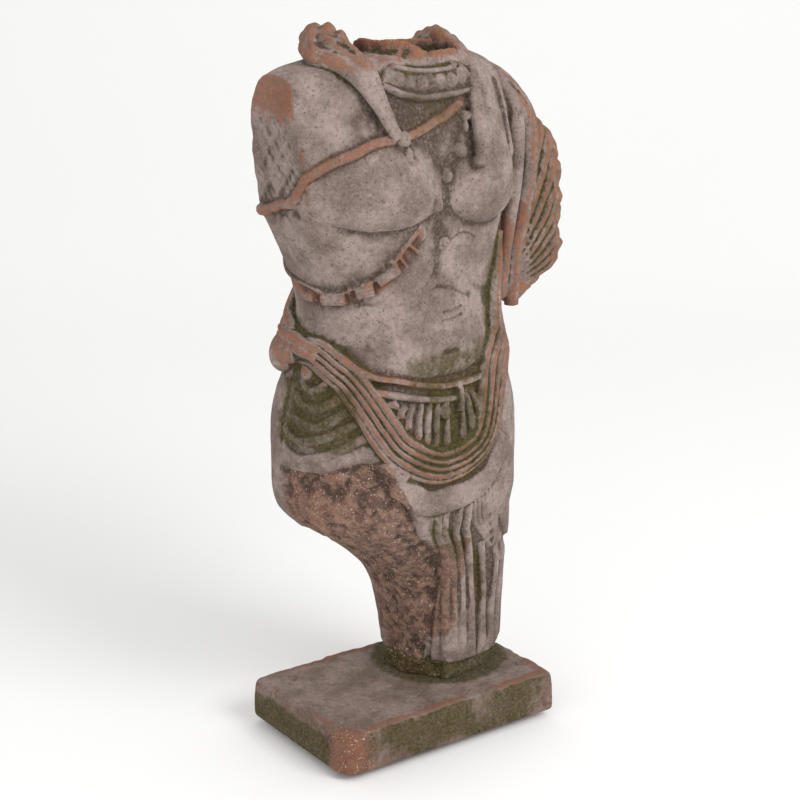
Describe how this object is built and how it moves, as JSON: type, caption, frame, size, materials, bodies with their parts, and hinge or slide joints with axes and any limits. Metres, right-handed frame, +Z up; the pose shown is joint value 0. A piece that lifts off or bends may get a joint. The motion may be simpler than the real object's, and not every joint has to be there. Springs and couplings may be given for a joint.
{
  "type": "stone torso statue",
  "caption": "Broken standing stone torso with a looped hip cloth, shawl and bead chains, on a low rectangular plinth, for a garden.",
  "frame": {"origin": "centre of the plinth's underside", "axes": "+Z up along the height; -Y is the plinth's front, the side the figure faces; +X runs along the plinth's long side to the figure's left"},
  "size_m": [0.5506, 0.301, 1.0907],
  "materials": {
    "figure_stone": "dry sandy cast stone, grey taupe, worn to terracotta on the raised edges, with moss in the folds",
    "plinth_stone": "dry rough cast stone, brown grey, terracotta edges, mossy sides"
  },
  "bodies": {
    "root": {"torso": "figure_stone", "plinth": "plinth_stone"}
  },
  "joints": []
}
